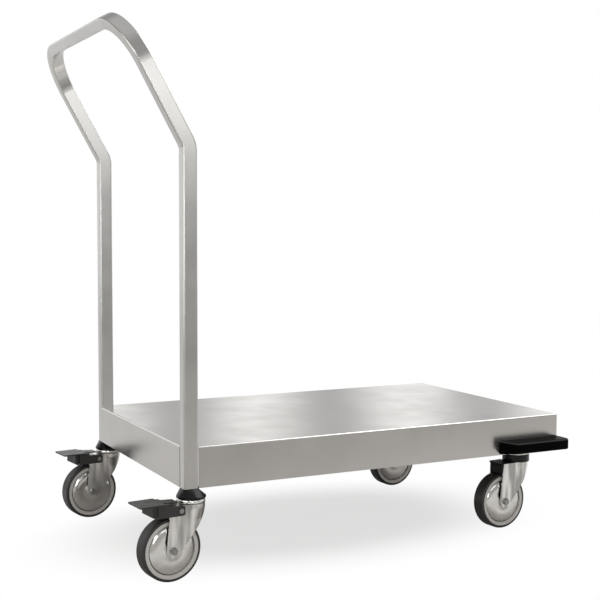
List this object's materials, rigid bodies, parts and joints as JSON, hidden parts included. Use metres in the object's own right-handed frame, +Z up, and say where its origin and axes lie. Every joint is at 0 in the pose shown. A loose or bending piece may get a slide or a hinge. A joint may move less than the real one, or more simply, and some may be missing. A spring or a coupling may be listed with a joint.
{
  "type": "platform push cart",
  "caption": "Low platform cart with a folded steel deck, tall bent-tube push handle, corner bumpers and braked swivel casters.",
  "frame": {"origin": "middle of the whole cart's bounding box, on the floor", "axes": "+X is the pushing direction, from the handle towards the bumpers; +Y is to the pusher's left; +Z is up"},
  "size_m": [1.0724, 0.676, 1.1191],
  "materials": {
    "deck_stainless": "fine satin stainless sheet with soft mottled reflections",
    "frame_steel": "plain stainless channel, satin",
    "handle_stainless": "satin stainless rectangular tube",
    "black_plastic": "semi-gloss black moulding",
    "guard_plastic": "matt black moulding",
    "fork_steel": "bright zinc-plated pressed steel",
    "chrome": "bright plated swivel ring",
    "bolt_steel": "zinc-plated fasteners",
    "tyre_grey": "dark grey rubber, satin",
    "rim_grey": "light grey moulded rim",
    "guard_disc": "polished dished disc",
    "bush_nylon": "white nylon",
    "pedal_grey": "dark grey coated lever",
    "brake_rubber": "black rubber"
  },
  "bodies": {
    "root": {"handle_tube": "handle_stainless", "deck_sheet": "deck_stainless", "front_channel": "frame_steel", "deck_stiffeners": "frame_steel", "bumper_right": "black_plastic", "bumper_left": "black_plastic", "bumper_bolts": "bolt_steel", "rear_stems": "bolt_steel", "front_stems": "bolt_steel", "rear_expanders": "brake_rubber", "front_pads": "fork_steel", "rear_right_cap": "black_plastic", "rear_right_head_ring": "chrome", "rear_left_cap": "black_plastic", "rear_left_head_ring": "chrome", "front_right_cap": "black_plastic", "front_right_head_ring": "chrome", "front_left_cap": "black_plastic", "front_left_head_ring": "chrome"},
    "rear_right_swivel": {"rear_right_fork": "fork_steel", "rear_right_bearing_balls": "chrome", "rear_right_axle": "bolt_steel", "rear_right_pedal_pin": "bolt_steel"},
    "rear_right_wheel": {"rear_right_tyre": "tyre_grey", "rear_right_rim": "rim_grey", "rear_right_bearing_bush": "bush_nylon", "rear_right_thread_guards": "guard_disc"},
    "rear_right_pedal": {"rear_right_brake_pedal": "pedal_grey", "rear_right_brake_shoe": "brake_rubber"},
    "rear_left_swivel": {"rear_left_fork": "fork_steel", "rear_left_bearing_balls": "chrome", "rear_left_axle": "bolt_steel", "rear_left_pedal_pin": "bolt_steel"},
    "rear_left_wheel": {"rear_left_tyre": "tyre_grey", "rear_left_rim": "rim_grey", "rear_left_bearing_bush": "bush_nylon", "rear_left_thread_guards": "guard_disc"},
    "rear_left_pedal": {"rear_left_brake_pedal": "pedal_grey", "rear_left_brake_shoe": "brake_rubber"},
    "front_right_swivel": {"front_right_fork": "fork_steel", "front_right_bearing_balls": "chrome", "front_right_axle": "bolt_steel", "front_right_fork_guard": "guard_plastic"},
    "front_right_wheel": {"front_right_tyre": "tyre_grey", "front_right_rim": "rim_grey", "front_right_bearing_bush": "bush_nylon", "front_right_thread_guards": "guard_disc"},
    "front_left_swivel": {"front_left_fork": "fork_steel", "front_left_bearing_balls": "chrome", "front_left_axle": "bolt_steel", "front_left_fork_guard": "guard_plastic"},
    "front_left_wheel": {"front_left_tyre": "tyre_grey", "front_left_rim": "rim_grey", "front_left_bearing_bush": "bush_nylon", "front_left_thread_guards": "guard_disc"}
  },
  "joints": [
    {"name": "rear_right_swivel_turn", "type": "hinge", "parent": "root", "child": "rear_right_swivel", "pos_m": [-0.37927, -0.2775, 0.152], "axis": [0, 0, 1], "continuous": true},
    {"name": "rear_right_wheel_spin", "type": "hinge", "parent": "rear_right_swivel", "child": "rear_right_wheel", "pos_m": [-0.429, -0.28273, 0.064], "axis": [-0.1045, 0.9945, 0], "continuous": true},
    {"name": "rear_right_pedal_press", "type": "hinge", "parent": "rear_right_swivel", "child": "rear_right_pedal", "pos_m": [-0.41408, -0.28116, 0.143], "axis": [0.1045, -0.9945, 0], "range_deg": [0, 9]},
    {"name": "rear_left_swivel_turn", "type": "hinge", "parent": "root", "child": "rear_left_swivel", "pos_m": [-0.37927, 0.2775, 0.152], "axis": [0, 0, 1], "continuous": true},
    {"name": "rear_left_wheel_spin", "type": "hinge", "parent": "rear_left_swivel", "child": "rear_left_wheel", "pos_m": [-0.4289, 0.27141, 0.064], "axis": [-0.1219, 0.9925, 0], "continuous": true},
    {"name": "rear_left_pedal_press", "type": "hinge", "parent": "rear_left_swivel", "child": "rear_left_pedal", "pos_m": [-0.41401, 0.27323, 0.143], "axis": [0.1219, -0.9925, 0], "range_deg": [0, 9]},
    {"name": "front_right_swivel_turn", "type": "hinge", "parent": "root", "child": "front_right_swivel", "pos_m": [0.45423, -0.241, 0.152], "axis": [0, 0, 1], "continuous": true},
    {"name": "front_right_wheel_spin", "type": "hinge", "parent": "front_right_swivel", "child": "front_right_wheel", "pos_m": [0.40435, -0.24449, 0.064], "axis": [-0.0698, 0.9976, 0], "continuous": true},
    {"name": "front_left_swivel_turn", "type": "hinge", "parent": "root", "child": "front_left_swivel", "pos_m": [0.45423, 0.241, 0.152], "axis": [0, 0, 1], "continuous": true},
    {"name": "front_left_wheel_spin", "type": "hinge", "parent": "front_left_swivel", "child": "front_left_wheel", "pos_m": [0.40435, 0.23751, 0.064], "axis": [-0.0698, 0.9976, 0], "continuous": true}
  ]
}
